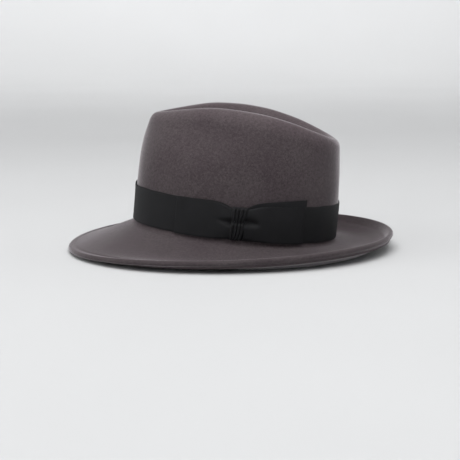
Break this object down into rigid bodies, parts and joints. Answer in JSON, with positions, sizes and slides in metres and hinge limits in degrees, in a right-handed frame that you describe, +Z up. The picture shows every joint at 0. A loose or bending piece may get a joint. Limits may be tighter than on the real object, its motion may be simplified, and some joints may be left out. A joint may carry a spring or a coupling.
{
  "type": "fedora hat",
  "caption": "Fur felt fedora with a teardrop crown, front pinch, curled brim with an underwelt edge, grosgrain band with side bow, leather sweatband and satin lining.",
  "frame": {"origin": "on the ground under the middle of the hat's bounding box, the hat standing on its own brim", "axes": "+X to the back of the hat, -X the front; -Y the wearer's left, where the bow is; +Z up"},
  "size_m": [0.3272, 0.2954, 0.1428],
  "materials": {
    "felt": "matte",
    "ribbon": "satin",
    "leather": "satin",
    "reed": "satin",
    "tape": "matte",
    "satin": "satin",
    "card": "matte"
  },
  "bodies": {
    "root": {"felt_body": "felt", "hatband": "ribbon", "bow_front_wing": "ribbon", "bow_rear_wing": "ribbon", "bow_tail": "ribbon", "bow_knot": "ribbon", "sweatband": "leather", "sweatband_reed": "reed", "reed_tape": "tape", "sweatband_bow": "tape", "lining_wall": "satin", "lining_tip": "satin", "lining_piping": "satin", "size_tag": "card"}
  },
  "joints": []
}
